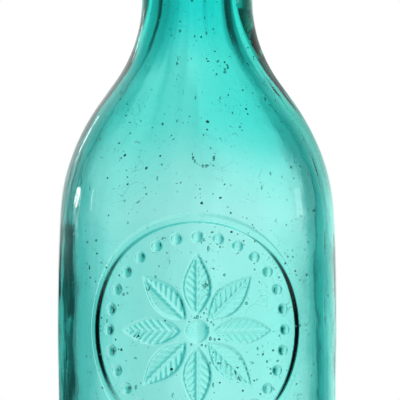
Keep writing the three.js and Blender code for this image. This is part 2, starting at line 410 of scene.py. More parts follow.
def ornament(azimuth, height):
    """Relief of the ornament, from 0 to 1."""
    across = azimuth * BODY_RADIUS
    up = height - ORNAMENT_HEIGHT
    radius = math.hypot(across, up)
    if radius > ORNAMENT_RING + 2 * RING_STROKE:
        return 0
    angle = math.atan2(across, up)
    turn = from_nearest(angle, BEAD_COUNT)
    from_bead = math.hypot(radius * math.cos(turn) - BEAD_RING, radius * math.sin(turn))
    return max(
        stroke(abs(radius - ORNAMENT_RING), RING_STROKE / 2),
        half_ball(from_bead, BEAD_RADIUS),
        petal(radius, angle),
        half_ball(radius, BOSS_RADIUS),
    )


# Glass body

def mould_seam(azimuth, height):
    """The fine ridge that each side of the mould leaves, wiped away on the neck."""
    away = abs(abs(azimuth) - SEAM_AZIMUTH) * BODY_RADIUS
    fade = 1 - smoothstep(NECK_FOOT - SEAM_FADE, NECK_FOOT, height)
    return SEAM_HEIGHT * fade * math.exp(-((away / SEAM_HALF_WIDTH) ** 2))


def hump(height, rise, middle, reach):
    """A soft rise, highest at its middle."""
    return rise * math.exp(-(((height - middle) / reach) ** 2))


def swell(height):
    """The body's slight barrel shape: fullest above its middle, drawn in under the shoulder."""
    return hump(height, *BODY_FULL) - hump(height, *BODY_DRAWN_IN)


def ripple(azimuth, height, radius, depth, size, seed):
    """Soft noise over a turned surface, with features of about the given size."""
    place = Vector(round_axis(radius, azimuth, height)) / size
    return depth * noise.noise(place + Vector((seed, 0, 0)))


def stripe(middle, reach, azimuth):
    """A lengthwise stripe that is 1 along its middle and fades to both sides."""
    return math.exp(-((turn_between(middle, azimuth) / reach) ** 2))


def thrown_cavity(azimuth, height):
    """Glass thrown to one side inside, gathered at the neck, ridged, hollowed and folded."""
    throw = part_way(CAVITY_OFFSET, BORE_OFFSET, smoothstep(*BORE_RISE, height)) * math.sin(azimuth)
    gather = NECK_GATHER * smoothstep(*GATHER_RISE, height)
    right = RIGHT_RIDGE * smoothstep(*RIGHT_RIDGE_RISE, height)
    right *= stripe(RIDGE_AZIMUTH, RIDGE_REACH, azimuth)
    left = LEFT_RIDGE * between(LEFT_RIDGE_RISE, LEFT_RIDGE_FALL, height)
    left *= stripe(-RIDGE_AZIMUTH, RIDGE_REACH, azimuth)
    hollow = RIGHT_HOLLOW * between(HOLLOW_RISE, HOLLOW_FALL, height)
    hollow *= stripe(HOLLOW_AZIMUTH, HOLLOW_REACH, azimuth)
    crowded = (FOLD_CROWDING * math.sin(azimuth), FOLD_CROWDING * math.cos(azimuth))
    fold = FOLD_HEIGHT * smoothstep(*FOLD_RISE, height)
    fold *= noise.noise(Vector((*crowded, height / FOLD_LENGTH)))
    return between(CAVITY_RISE, CAVITY_FALL, height) * (throw + gather + right + left + fold - hollow)


def glass_azimuths():
    """Columns round the glass: fine over the ornament and the mould's seams."""
    azimuths = []
    azimuth = -math.pi
    while azimuth < math.pi - PLAIN_TURN / 4:
        azimuths.append(azimuth)
        near_seam = abs(abs(azimuth) - SEAM_AZIMUTH) < SEAM_REACH
        fine = abs(azimuth) < ORNAMENT_REACH or near_seam
        azimuth += FINE_STEP / BODY_RADIUS if fine else PLAIN_TURN
    return azimuths


def outer_side():
    """Profile of the outside from the shoulder's foot to the neck's."""
    return shoulder(BODY_RADIUS, NECK_RADIUS, SHOULDER_ARC_RADIUS, NECK_FLARE_RADIUS, NECK_FOOT)


def glass_body_profile():
    """Profiles of the outside, from the middle of the base up, and of the inside, back down."""
    inner_radius = BODY_RADIUS - BODY_WALL
    level_wall = SHOULDER_WALL + (NECK_WALL - SHOULDER_WALL) * math.cos(SHOULDER_SLOPE)
    inner_top = NECK_FOOT + (level_wall - SHOULDER_WALL) / math.sin(SHOULDER_SLOPE)
    heel = (BODY_RADIUS - HEEL_RADIUS, HEEL_RADIUS)
    inner_heel = (inner_radius - HEEL_RADIUS, BASE_THICKNESS + HEEL_RADIUS)
    radii = (HEEL_RADIUS, HEEL_RADIUS)
    outside = [
        *dome(heel[0] - STANDING_RING_WIDTH, PUSH_UP_DEPTH, 0),
        *arc(heel, radii, -math.pi / 2, 0),
        *outer_side(),
        (NECK_RADIUS, NECK_END),
    ]
    convex = SHOULDER_ARC_RADIUS - SHOULDER_WALL
    concave = NECK_FLARE_RADIUS + SHOULDER_WALL
    inside = [
        *dome(inner_heel[0], PUSH_UP_DEPTH, BASE_THICKNESS),
        *arc(inner_heel, radii, -math.pi / 2, 0),
        *shoulder(inner_radius, BORE_RADIUS, convex, concave, inner_top),
        (BORE_RADIUS, NECK_END),
    ]

    def outer_step(height):
        ornamented = abs(height - ORNAMENT_HEIGHT) < ORNAMENT_RING + RING_STROKE
        return FINE_STEP if ornamented else PLAIN_STEP

    outer = resample(outside, outer_step)
    inner = resample(inside, lambda height: INNER_STEP)
    return outer, inner[::-1]


def outer_move(azimuth, radius, height):
    """How far the outside stands off its plain form: ornament, barrel shape, ripples and seams."""
    on_side = smoothstep(0, HEEL_RADIUS, height)
    fade = on_side * (1 - smoothstep(NECK_FOOT - OUTER_FADE, NECK_FOOT, height))
    relief = ORNAMENT_RELIEF * ornament(azimuth, height)
    blown = swell(height) + ripple(azimuth, height, radius, *OUTER_RIPPLE)
    return relief + fade * blown + on_side * mould_seam(azimuth, height)


def inner_move(azimuth, radius, height):
    """How far the inside stands off its plain form, towards the axis."""
    below_neck = 1 - smoothstep(NECK_FOOT - INNER_FADE, NECK_FOOT, height)
    from_side = (abs(azimuth) - math.pi / 2) / SIDE_REACH
    calm = 1 - SIDE_CALM * math.exp(-(from_side ** 2))
    wave = calm * ripple(azimuth, height, radius, *INNER_WAVE)
    fine = sum(ripple(azimuth, height, radius, *kind) for kind in INNER_RIPPLES)
    return below_neck * (wave + fine) + thrown_cavity(azimuth, height)


def glass_body_mesh():
    """The blown body as one closed wall of glass, with its bubbles."""
    outer, inner = glass_body_profile()

    def displace(row, azimuth, radius, height):
        if row < len(outer) - RIM_ROWS:
            return outer_move(azimuth, radius, height)
        if row >= len(outer) + RIM_ROWS:
            return inner_move(azimuth, radius, height)
        return 0

    vertices, faces = turned_surface(outer + inner, glass_azimuths(), displace)
    add_bubbles(vertices, faces)
    return new_mesh("glass_body", vertices, faces)


def outer_radius_at(height):
    """The glass's outer radius at a height on its side, shoulder or neck."""
    side = outer_side()
    if height <= side[0][1]:
        return BODY_RADIUS
    for low, high in zip(side, side[1:]):
        if low[1] <= height <= high[1]:
            return part_way(low[0], high[0], (height - low[1]) / (high[1] - low[1]))
    return NECK_RADIUS


def bubble_form():
    """Points and faces of a small round bubble, its faces turned inwards."""
    ball = bmesh.new()
    bmesh.ops.create_icosphere(ball, subdivisions=BUBBLE_SUBDIVISIONS, radius=1)
    points = [vertex.co.copy() for vertex in ball.verts]
    faces = [[vertex.index for vertex in reversed(face.verts)] for face in ball.faces]
    ball.free()
    return points, faces


def bubble_places(draw):
    """Azimuth and height of each bubble: all over the glass, then the streak and the chain in front."""
    for _ in range(BUBBLE_COUNT):
        yield draw.uniform(-math.pi, math.pi), draw.uniform(BUBBLE_LOWEST, NECK_FOOT)
    for _ in range(STREAK_COUNT):
        yield draw.gauss(STREAK_AZIMUTH, STREAK_TURN), draw.gauss(STREAK_HEIGHT, STREAK_REACH)
    for i in range(CHAIN_COUNT):
        angle = math.pi * (1 + i / CHAIN_COUNT) + draw.gauss(0, CHAIN_JITTER)
        across = CHAIN_RADIUS * math.cos(angle) / BODY_RADIUS
        yield CHAIN_AZIMUTH + across, CHAIN_HEIGHT + CHAIN_RADIUS * math.sin(angle)


def add_bubbles(vertices, faces):
    """Seed bubbles inside the wall, drawn out along the bottle."""
    draw = random.Random(BUBBLE_SEED)
    points, sides = bubble_form()
    for azimuth, height in bubble_places(draw):
        depth = draw.uniform(*BUBBLE_DEPTHS)
        radius = outer_radius_at(height) - depth / math.cos(SHOULDER_SLOPE)
        size = BUBBLE_LEAST + BUBBLE_SPREAD * draw.random() ** BUBBLE_RARITY
        stretch = draw.uniform(*BUBBLE_STRETCHES)
        centre = Vector(round_axis(radius, azimuth, height))
        first = len(vertices)
        for point in points:
            vertices.append(centre + Vector((point.x, point.y, point.z * stretch)) * size)
        faces.extend([first + index for index in side] for side in sides)


# Lip, cork and wires

def even_azimuths(count):
    return [2 * math.pi * i / count for i in range(count)]


def blob_lip_mesh():
    """The laid-on lip, a closed ring that sits over the neck's end."""
    socket = NECK_RADIUS - SEAM_OVERLAP
    seat = NECK_END - SEAM_OVERLAP
    skirt = NECK_RADIUS + LIP_SKIRT
    mouth = BORE_RADIUS + MOUTH_ROUNDING
    land = mouth + LIP_LAND_WIDTH
    widest = LIP_FOOT + LIP_WIDEST_HEIGHT
    rounding = (MOUTH_ROUNDING, MOUTH_ROUNDING)
    outside = [
        (socket, LIP_FOOT),
        *arc((skirt, widest), (LIP_RADIUS - skirt, LIP_WIDEST_HEIGHT), -math.pi / 2, 0),
        *arc((land, widest), (LIP_RADIUS - land, LIP_TOP - widest), 0, math.pi / 2),
        *arc((mouth, LIP_TOP - MOUTH_ROUNDING), rounding, math.pi / 2, math.pi, MOUTH_STEPS),
        (BORE_RADIUS, seat),
    ]
    line = resample(outside, lambda height: LIP_STEP)
    profile = line + [(socket, seat), line[0]]

    def displace(row, azimuth, radius, height):
        if LIP_FOOT_ROWS <= row < len(line) - LIP_BORE_ROWS:
            lean = LIP_LEAN * math.cos(azimuth - LIP_LEAN_AZIMUTH)
            lean *= smoothstep(LIP_FOOT, LIP_TOP, height)
            return lean + ripple(azimuth, height, radius, *LIP_RIPPLE) - LIP_SHRINK
        return 0

    mesh = new_mesh("blob_lip", *turned_surface(profile, even_azimuths(LIP_COLUMNS), displace))
    weld(mesh)
    return mesh


def cork_pits():
    """Places, sizes and depths of the cork's pores."""
    draw = random.Random(PIT_SEED)
    pits = []
    for _ in range(PIT_COUNT):
        pits.append((
            draw.uniform(-math.pi, math.pi),
            draw.uniform(CORK_FOOT, CORK_TOP),
            draw.uniform(*PIT_SIZES),
            draw.uniform(*PIT_DEPTHS),
        ))
    return pits


def cork_mesh():
    """The cork: a tapered shank and a wider head with a crown, all over pores."""
    head_top = CORK_TOP - CORK_CROWN_HEIGHT
    end = CORK_SHANK_RADIUS - CORK_TAPER
    outline = [
        (0, CORK_FOOT),
        (end - CORK_EDGE, CORK_FOOT),
        (end, CORK_FOOT + CORK_EDGE),
        (CORK_SHANK_RADIUS, LIP_TOP),
        (CORK_HEAD_RADIUS, LIP_TOP + CORK_SWELL_HEIGHT),
        *dome(CORK_HEAD_RADIUS, CORK_CROWN_HEIGHT, head_top)[::-1],
    ]
    profile = resample(outline, lambda height: CORK_STEP)
    pits = cork_pits()

    def displace(row, azimuth, radius, height):
        dug = 0
        for pit_azimuth, pit_height, size, depth in pits:
            across = turn_between(pit_azimuth, azimuth) * radius
            distance = math.hypot(across / PIT_STRETCH, height - pit_height)
            dug = max(dug, depth * (1 - smoothstep(PIT_FLOOR * size, size, distance)))
        return -dug - CORK_SHRINK - ripple(azimuth, height, radius, *CORK_RIPPLE)

    return new_mesh("cork", *turned_surface(profile, even_azimuths(CORK_COLUMNS), displace))


def tube_mesh(name, points, radius):
    """A smooth round wire through the points, with closed ends."""
    curve = bpy.data.curves.new(name, "CURVE")
    curve.dimensions = "3D"
    curve.bevel_depth = radius
    curve.bevel_resolution = WIRE_ROUND_STEPS
    curve.resolution_u = WIRE_LENGTH_STEPS
    curve.use_fill_caps = True
    spline = curve.splines.new("BEZIER")
    spline.bezier_points.add(len(points) - 1)
    for bezier, point in zip(spline.bezier_points, points):
        bezier.co = point
        bezier.handle_left_type = "AUTO"
        bezier.handle_right_type = "AUTO"
    holder = bpy.data.objects.new(name, curve)
    bpy.context.scene.collection.objects.link(holder)
    evaluated = holder.evaluated_get(bpy.context.evaluated_depsgraph_get())
    mesh = bpy.data.meshes.new_from_object(evaluated)
    bpy.data.objects.remove(holder)
    bpy.data.curves.remove(curve)
    weld(mesh)
    return mesh


def on_ring(azimuth, radius):
    """A point at the neck ring's height, azimuth from +X."""
    return Vector((radius * math.cos(azimuth), radius * math.sin(azimuth), RING_HEIGHT))


def ring_stretch(start, end, offset):
    """The ring between two azimuths from +X, easing in to the neck from an offset at its start."""
    points = []
    for i in range(1, RING_STEPS):
        along = i / RING_STEPS
        eased = offset * (1 + math.cos(math.pi * along)) / 2
        points.append(on_ring(part_way(start, end, along), RING_RADIUS + eased))
    return points


def eye_turn(azimuth):
    """One turn of wire in the plane that touches the neck, moving out by a wire's pitch."""
    outward = Vector((math.cos(azimuth), math.sin(azimuth), 0))
    forward = Vector((-outward.y, outward.x, 0))
    points = []
    for i in range(EYE_STEPS + 1):
        along = i / EYE_STEPS
        turn = 2 * math.pi * along
        out = WIRE_PITCH * (1 - math.cos(math.pi * along)) / 2
        lift = Vector((0, 0, EYE_RADIUS * (1 - math.cos(turn))))
        points.append(on_ring(azimuth, RING_RADIUS + out) + forward * EYE_RADIUS * math.sin(turn) + lift)
    return points


def tail_strand(phase):
    """One strand of the twisted tail, from the neck outwards."""
    twist = WIRE_PITCH / 2
    points = []
    for i in range(TAIL_STEPS + 1):
        along = i / TAIL_STEPS
        angle = phase + 2 * math.pi * along
        out = RING_RADIUS + twist + TWIST_LENGTH * along
        points.append(Vector((twist * math.cos(angle), out, RING_HEIGHT + twist * math.sin(angle))))
    return points


def neck_wire_mesh():
    """One wire round the neck, with an eye at each side and its ends twisted at the back."""
    back = math.pi / 2
    left = math.pi
    right = 2 * math.pi
    tail = WIRE_PITCH / RING_RADIUS
    points = [
        *tail_strand(math.pi)[::-1],
        *ring_stretch(back + tail, left, 0),
        *eye_turn(left),
        *ring_stretch(left, right, WIRE_PITCH),
        *eye_turn(right),
        *ring_stretch(right, right + back - tail, WIRE_PITCH),
        *tail_strand(0),
    ]
    return tube_mesh("neck_wire", points, NECK_WIRE_RADIUS)


def rounded_corners(corners, radii):
    """Points along straight stretches whose inner corners are rounded."""
    points = [corners[0]]
    for before, corner, after, radius in zip(corners, corners[1:], corners[2:], radii):
        back = (before - corner).normalized()
        ahead = (after - corner).normalized()
        set_back = radius / math.tan(back.angle(ahead) / 2)
        start = corner + back * set_back
        end = corner + ahead * set_back
        count = max(BEND_LEAST_STEPS, round((end - start).length / BEND_STEP))
        for i in range(count + 1):
            t = i / count
            points.append(start * (1 - t) ** 2 + corner * 2 * t * (1 - t) + end * t ** 2)
    return points + [corners[-1]]


def bail_mesh():
    """The bail: pins, arms and a bar over the cork, bent from one wire."""
    right = [
        Vector((BAIL_PIN_END, 0, PIVOT_HEIGHT)),
        Vector((BAIL_ARM, 0, PIVOT_HEIGHT)),
        Vector((BAIL_ARM, 0, BAIL_KNEE)),
        Vector((BAIL_BAR_HALF, 0, BAIL_BAR)),
    ]
    left = [Vector((-corner.x, 0, corner.z)) for corner in reversed(right)]
    bends = [BAIL_ELBOW_RADIUS, BAIL_BEND_RADIUS, BAIL_BEND_RADIUS]
    return tube_mesh("wire_bail", rounded_corners(right + left, bends + bends[::-1]), BAIL_WIRE_RADIUS)


# Materials

# Sockets of a Mix node that mixes colours
MIX_FACTOR = 0
MIX_FIRST = 6
MIX_SECOND = 7
MIX_RESULT = 2


class Nodes:
    """Short ways to add and link shader nodes."""

    def __init__(self, tree):
        self.tree = tree
        tree.nodes.clear()

    def add(self, kind, **settings):
        node = self.tree.nodes.new("ShaderNode" + kind)
        for key, value in settings.items():
            setattr(node, key, value)
        return node

    def link(self, output, node, socket):
        self.tree.links.new(output, node.inputs[socket])

    def put(self, value, node, socket):
        """Links an output to a socket, or sets the socket to a number or a colour."""
        if isinstance(value, bpy.types.NodeSocket):
            self.link(value, node, socket)
        elif isinstance(value, tuple):
            node.inputs[socket].default_value = (*value, 1)
        else:
            node.inputs[socket].default_value = value

    def split(self, vector):
        node = self.add("SeparateXYZ")
        self.link(vector, node, "Vector")
        return node.outputs

    def noise(self, coordinates, scale, detail, distortion):
        node = self.add("TexNoise")
        node.inputs["Scale"].default_value = scale
        node.inputs["Detail"].default_value = detail
        node.inputs["Distortion"].default_value = distortion
        self.link(coordinates, node, "Vector")
        return node.outputs["Fac"]

    def ramp(self, factor, stops):
        node = self.add("ValToRGB")
        elements = node.color_ramp.elements
        while len(elements) < len(stops):
            elements.new(0.5)
        for element, (position, colour) in zip(elements, stops):
            element.position = position
            element.color = (*colour, 1)
        self.link(factor, node, "Fac")
        return node.outputs["Color"]

    def mix(self, factor, first, second, blend="MIX"):
        node = self.add("Mix", data_type="RGBA", blend_type=blend)
        self.put(factor, node, MIX_FACTOR)
        self.put(first, node, MIX_FIRST)
        self.put(second, node, MIX_SECOND)
        return node.outputs[MIX_RESULT]

    def math(self, operation, first, second=0.0):
        node = self.add("Math", operation=operation)
        self.put(first, node, 0)
        self.put(second, node, 1)
        return node.outputs[0]

    def bump(self, shader, height, strength, depth):
        node = self.add("Bump")
        node.inputs["Strength"].default_value = strength
        self.put(depth, node, "Distance")
        self.link(height, node, "Height")
        self.link(node.outputs["Normal"], shader, "Normal")


def grey(value):
    return (value, value, value)


def grey_stops(levels):
    """Stops of a ramp of greys."""
    return [(at, grey(level)) for at, level in levels]


def new_material(name):
    """A new material, its nodes, shader and output, and the place on the object."""
    material = bpy.data.materials.new(name)
    material.use_nodes = True
    nodes = Nodes(material.node_tree)
    output = nodes.add("OutputMaterial")
    shader = nodes.add("BsdfPrincipled")
    nodes.link(shader.outputs["BSDF"], output, "Surface")
    place = nodes.add("TexCoord").outputs["Object"]
    return material, nodes, shader, output, place


# Glass: its depth of colour, the painted shade in its colour, and the dark of its specks and scratches
GLASS_INDEX = 1.5
DEPTH_COLOUR = (0.235, 0.976, 0.918, 1)
DEPTH_DENSITY = 170
MARK_COLOUR = (0.003, 0.015, 0.014)
# Painted shade in the glass's colour by height in millimetres, deeper towards the neck
PAINTED_SHADE_BY_HEIGHT = [
    (115, (1.0, 1.0, 1.0)), (121, (0.94, 0.99, 0.985)), (128, (0.8, 0.985, 0.98)),
    (138, (0.85, 0.985, 0.98)), (145, (0.52, 0.92, 0.92)), (152, (0.28, 0.88, 0.885)),
]
# Painted shade, deeper on the shoulder's right side: across in millimetres, then how much of it by
# height
PAINTED_SIDE_SHADE = [
    (-5, (1.0, 1.0, 1.0)), (3, (0.75, 0.95, 0.95)), (10, (0.68, 0.94, 0.94)), (18, (0.55, 0.91, 0.91)),
]
PAINTED_SIDE_SHADE_SHARES = [(106, 0), (111, 0.12), (117, 0.35), (124, 0.9), (138, 0.9), (146, 0.2)]
SHADE_AND_CRINKLE_HEIGHTS = (90, 160)
PAINTED_SIDE_SHADE_WIDTHS = (-20, 20)
# Painted shade, deeper along the shoulder's right edge, measured across a line that leans with the
# shoulder
EDGE_LEAN = 0.48
PAINTED_EDGE_SHADE = [(81, (1.0, 1.0, 1.0)), (83.5, (0.6, 0.62, 0.62))]
PAINTED_EDGE_SHADE_SHARES = [(128, 1), (138, 0)]
PAINTED_EDGE_SHADE_WIDTHS = (70, 100)
# Crinkled glass beside the left seam, below the shoulder's slope: its share across and by height
CRINKLE_ACROSS = [(-27, 1), (-23, 0)]
CRINKLE_HEIGHTS = [(98, 0), (104, 1), (116, 1), (124, 0)]
CRINKLE_WIDTHS = (-32, 0)
CRINKLE_DEPTH = 0.07 * MM
# Fine unevenness of the surface, drawn out along the bottle
PEEL_STRENGTH = 1
PEEL_DEPTH = 0.011 * MM
PEEL_STRETCH = (1, 1, 0.4)
# Dirt specks: cells a metre, how far and how finely their outlines wander, and their sizes in patches
SPECK_SCALE = 780
SPECK_WANDER = 0.5 * MM
SPECK_WANDER_SCALE = 1800
SPECK_RARITY = 3
SPECK_SIZES = [(0.5, 0.1), (0.6, 0.28)]
# Hair scratches run where a noise is at its middle, in the worn places alone
SCRATCH_MIDDLE = 0.5
SCRATCH_WIDTH = [(0.0015, 1), (0.004, 0)]
WORN_PLACES = [(0.58, 0), (0.62, 0.8)]
HAZE_ROUGHNESS = [(0.4, 0.0), (0.8, 0.06)]
# Noises: features a metre, detail and distortion
PATCH_NOISE = (90, 3, 0)
SCRATCH_NOISE = (120, 1, 1.5)
WORN_NOISE = (75, 3, 0)
HAZE_NOISE = (60, 5, 0)
PEEL_NOISE = (700, 4, 0)


def ramp_along(nodes, distance, ends, stops):
    """A colour ramp whose stops are given in millimetres along a coordinate."""
    low, high = ends
    share = nodes.add("MapRange")
    share.inputs["From Min"].default_value = low * MM
    share.inputs["From Max"].default_value = high * MM
    nodes.link(distance, share, "Value")
    shares = [((at - low) / (high - low), colour) for at, colour in stops]
    return nodes.ramp(share.outputs["Result"], shares)


def painted_glass_shade(nodes, place):
    """Painted shade in the glass's colour: deeper in the neck and on the shoulder's right side and edge.
    """
    along = nodes.split(place)
    # painted shade by height, with the right side's and the right edge's painted shade multiplied in
    painted_shade = ramp_along(nodes, along["Z"], SHADE_AND_CRINKLE_HEIGHTS, PAINTED_SHADE_BY_HEIGHT)
    side = ramp_along(nodes, along["X"], PAINTED_SIDE_SHADE_WIDTHS, PAINTED_SIDE_SHADE)
    share = ramp_along(nodes, along["Z"], SHADE_AND_CRINKLE_HEIGHTS, grey_stops(PAINTED_SIDE_SHADE_SHARES))
    painted_shade = nodes.mix(share, painted_shade, side, "MULTIPLY")
    across = nodes.add("VectorMath", operation="DOT_PRODUCT")
    nodes.link(place, across, 0)
    across.inputs[1].default_value = (1, 0, EDGE_LEAN)
    edge = ramp_along(nodes, across.outputs["Value"], PAINTED_EDGE_SHADE_WIDTHS, PAINTED_EDGE_SHADE)
    share = ramp_along(nodes, along["Z"], SHADE_AND_CRINKLE_HEIGHTS, grey_stops(PAINTED_EDGE_SHADE_SHARES))
    return nodes.mix(share, painted_shade, edge, "MULTIPLY")


def glass_specks(nodes, place):
    """Ragged dirt specks of many sizes, thick in some patches and thin elsewhere."""
    wander = nodes.add("TexNoise")
    wander.inputs["Scale"].default_value = SPECK_WANDER_SCALE
    nodes.link(place, wander, "Vector")
    ragged = nodes.add("VectorMath", operation="MULTIPLY_ADD")
    nodes.link(wander.outputs["Color"], ragged, 0)
    ragged.inputs[1].default_value = (SPECK_WANDER, SPECK_WANDER, SPECK_WANDER)
    nodes.link(place, ragged, 2)
    specks = nodes.add("TexVoronoi")
    specks.inputs["Scale"].default_value = SPECK_SCALE
    nodes.link(ragged.outputs["Vector"], specks, "Vector")
    chance = nodes.add("SeparateColor")
    nodes.link(specks.outputs["Color"], chance, "Color")
    patch = nodes.ramp(nodes.noise(place, *PATCH_NOISE), grey_stops(SPECK_SIZES))
    rare = nodes.math("POWER", chance.outputs["Red"], SPECK_RARITY)
    size = nodes.math("MULTIPLY", rare, patch)
    return nodes.math("LESS_THAN", specks.outputs["Distance"], size)


def glass_scratches(nodes, place):
    """Hair scratches in the worn places."""
    from_middle = nodes.math("SUBTRACT", nodes.noise(place, *SCRATCH_NOISE), SCRATCH_MIDDLE)
    scratch = nodes.ramp(nodes.math("ABSOLUTE", from_middle), grey_stops(SCRATCH_WIDTH))
    worn = nodes.ramp(nodes.noise(place, *WORN_NOISE), grey_stops(WORN_PLACES))
    return nodes.mix(1.0, scratch, worn, "MULTIPLY")


def peel_depth(nodes, place):
    """Depth of the surface's fine unevenness, deeper where the glass is crinkled."""
    along = nodes.split(place)
    beside = ramp_along(nodes, along["X"], CRINKLE_WIDTHS, grey_stops(CRINKLE_ACROSS))
    level = ramp_along(nodes, along["Z"], SHADE_AND_CRINKLE_HEIGHTS, grey_stops(CRINKLE_HEIGHTS))
    share = nodes.math("MULTIPLY", beside, level)
    return nodes.math("ADD", nodes.math("MULTIPLY", share, CRINKLE_DEPTH), PEEL_DEPTH)


def glass_material():
    """Teal glass with painted shade in its colour, dirt specks, hair scratches and a faint haze."""
    material, nodes, shader, output, place = new_material("teal_glass")
    shader.inputs["Transmission Weight"].default_value = 1
    shader.inputs["IOR"].default_value = GLASS_INDEX

    scratches = glass_scratches(nodes, place)
    marks = nodes.mix(1.0, glass_specks(nodes, place), scratches, "LIGHTEN")
    # the base colour is the painted shade, with the dark specks and scratches mixed over it
    nodes.link(nodes.mix(marks, painted_glass_shade(nodes, place), MARK_COLOUR), shader, "Base Color")
    haze = nodes.ramp(nodes.noise(place, *HAZE_NOISE), grey_stops(HAZE_ROUGHNESS))
    nodes.link(haze, shader, "Roughness")
    lengthwise = nodes.add("Mapping")
    lengthwise.inputs["Scale"].default_value = PEEL_STRETCH
    nodes.link(place, lengthwise, "Vector")
    uneven = nodes.noise(lengthwise.outputs["Vector"], *PEEL_NOISE)
    nodes.bump(shader, uneven, PEEL_STRENGTH, peel_depth(nodes, place))

    depth = nodes.add("VolumeAbsorption")
    depth.inputs["Color"].default_value = DEPTH_COLOUR
    depth.inputs["Density"].default_value = DEPTH_DENSITY
    nodes.link(depth.outputs["Volume"], output, "Volume")
    return material


# Cork, with its noises given as the glass's are
GRAIN_COLOURS = [(0.3, (0.2, 0.1, 0.045)), (0.5, (0.46, 0.27, 0.125)), (0.7, (0.62, 0.41, 0.21))]
GRAIN_NOISE = (420, 8, 0.6)
PORE_SCALE = 480
PORE_WIDTH = [(0.1, 1), (0.24, 0)]
PORE_COLOUR = (0.09, 0.045, 0.02)
CORK_ROUGHNESS = 0.88
CORK_BUMP_NOISE = (900, 6, 0)
CORK_BUMP_STRENGTH = 0.5
CORK_BUMP_DEPTH = 0.2 * MM


def cork_material():
    """Bark cork: warm grain and dark pores."""
    material, nodes, shader, _, place = new_material("cork")
    grain = nodes.ramp(nodes.noise(place, *GRAIN_NOISE), GRAIN_COLOURS)
    pores = nodes.add("TexVoronoi")
    pores.inputs["Scale"].default_value = PORE_SCALE
    nodes.link(place, pores, "Vector")
    holes = nodes.ramp(pores.outputs["Distance"], grey_stops(PORE_WIDTH))
    nodes.link(nodes.mix(holes, grain, PORE_COLOUR), shader, "Base Color")
    shader.inputs["Roughness"].default_value = CORK_ROUGHNESS
    nodes.bump(shader, nodes.noise(place, *CORK_BUMP_NOISE), CORK_BUMP_STRENGTH, CORK_BUMP_DEPTH)
    return material


# Wire: where it has rusted, and how steel and rust look
RUST_NOISE = (260, 7, 0.4)
RUST_PLACES = [(0.46, 0), (0.62, 1)]
STEEL_NOISE = (900, 4, 0)
STEEL_COLOURS = [(0.3, (0.13, 0.12, 0.11)), (0.7, (0.36, 0.34, 0.31))]
BROWN_NOISE = (1400, 5, 0)
BROWN_COLOURS = [(0.3, (0.055, 0.022, 0.01)), (0.7, (0.2, 0.082, 0.03))]
WIRE_METALLIC = [(0, 0.95), (1, 0.1)]
WIRE_ROUGHNESS = [(0, 0.38), (1, 0.85)]
WIRE_BUMP_NOISE = (1600, 5, 0)
WIRE_BUMP_STRENGTH = 0.4
WIRE_BUMP_DEPTH = 0.15 * MM


def wire_material():
    """Iron wire, dull steel in some places and brown with rust in others."""
    material, nodes, shader, _, place = new_material("wire")
    rust = nodes.ramp(nodes.noise(place, *RUST_NOISE), grey_stops(RUST_PLACES))
    steel = nodes.ramp(nodes.noise(place, *STEEL_NOISE), STEEL_COLOURS)
    brown = nodes.ramp(nodes.noise(place, *BROWN_NOISE), BROWN_COLOURS)
    nodes.link(nodes.mix(rust, steel, brown), shader, "Base Color")
    nodes.link(nodes.ramp(rust, grey_stops(WIRE_METALLIC)), shader, "Metallic")
    nodes.link(nodes.ramp(rust, grey_stops(WIRE_ROUGHNESS)), shader, "Roughness")
    nodes.bump(shader, nodes.noise(place, *WIRE_BUMP_NOISE), WIRE_BUMP_STRENGTH, WIRE_BUMP_DEPTH)
    return material


# Stage

# Surroundings seen through the glass: degrees to the right of straight behind, then brightness
# below the level of the eye and above it
SURROUNDINGS = [
    (-160, 0.75, 0.75), (-150, 0.4, 0.4), (-120, 0.4, 0.4), (-108, 0.9, 0.9), (-78, 0.9, 0.3),
    (-70, 0.15, 0.06), (-54, 0.12, 0.08), (-44, 0.06, 0.14), (-38, 0.06, 0.42), (-28, 0.08, 0.46),
    (-24, 0.4, 0.48), (-18, 0.58, 0.55), (-13, 0.58, 0.61), (-9, 0.67, 0.7), (-5, 0.8, 0.82),
    (-1, 0.84, 0.86), (2, 1.0, 1.0), (6, 1.0, 1.0), (9.5, 0.95, 0.98), (13, 0.95, 1.0),
    (18, 0.88, 1.0), (24, 0.68, 0.76), (36, 0.47, 0.48), (43, 0.42, 0.4), (50, 0.16, 0.12),
    (64, 0.06, 0.06), (70, 0.3, 0.3), (84, 0.9, 0.9), (108, 0.9, 0.9), (120, 0.4, 0.4), (150, 0.4, 0.4),
    (160, 0.75, 0.75),
]
# Surroundings mirrored in shiny surfaces, in the same way
MIRRORED = [
    (-112, 0.08, 0.08), (-84, 0.3, 0.2), (-68, 0.1, 0.12), (-40, 0.05, 0.4), (-26, 0.08, 0.9),
    (-20, 0.4, 1.0), (-12, 1.0, 1.0), (24, 1.0, 1.0), (32, 0.75, 0.8), (42, 0.45, 0.5),
    (52, 0.25, 0.3), (58, 0.12, 0.2), (68, 0.15, 0.2), (84, 0.3, 0.3), (112, 0.08, 0.08),
]
# Ceilings of the two rooms: degrees to the right of straight behind, then brightness
SEEN_CEILING = [(-90, 0.4), (90, 0.4)]
MIRRORED_CEILING = [(-62, 0.12), (-36, 0.95), (-6, 0.95), (6, 0.5), (36, 0.5), (62, 0.12)]
# Where the walls change at the level of the eye, and where the ceiling comes in, as shares of the
# way from straight down to straight up
SEEN_EYE_LEVEL = [(0.484, 0), (0.494, 1)]
SEEN_CEILING_FOOT = [(0.73, 0), (0.8, 1)]
MIRRORED_EYE_LEVEL = [(0.488, 0), (0.506, 1)]
MIRRORED_CEILING_FOOT = [(0.53, 0), (0.6, 1)]
NEUTRAL_LEVEL = 0.88
TEAL_LEAN = 2.2
MIRRORED_TINT = (0.85, 1, 0.97)
PLAIN_LEVEL = 0.75  # what matt surfaces see

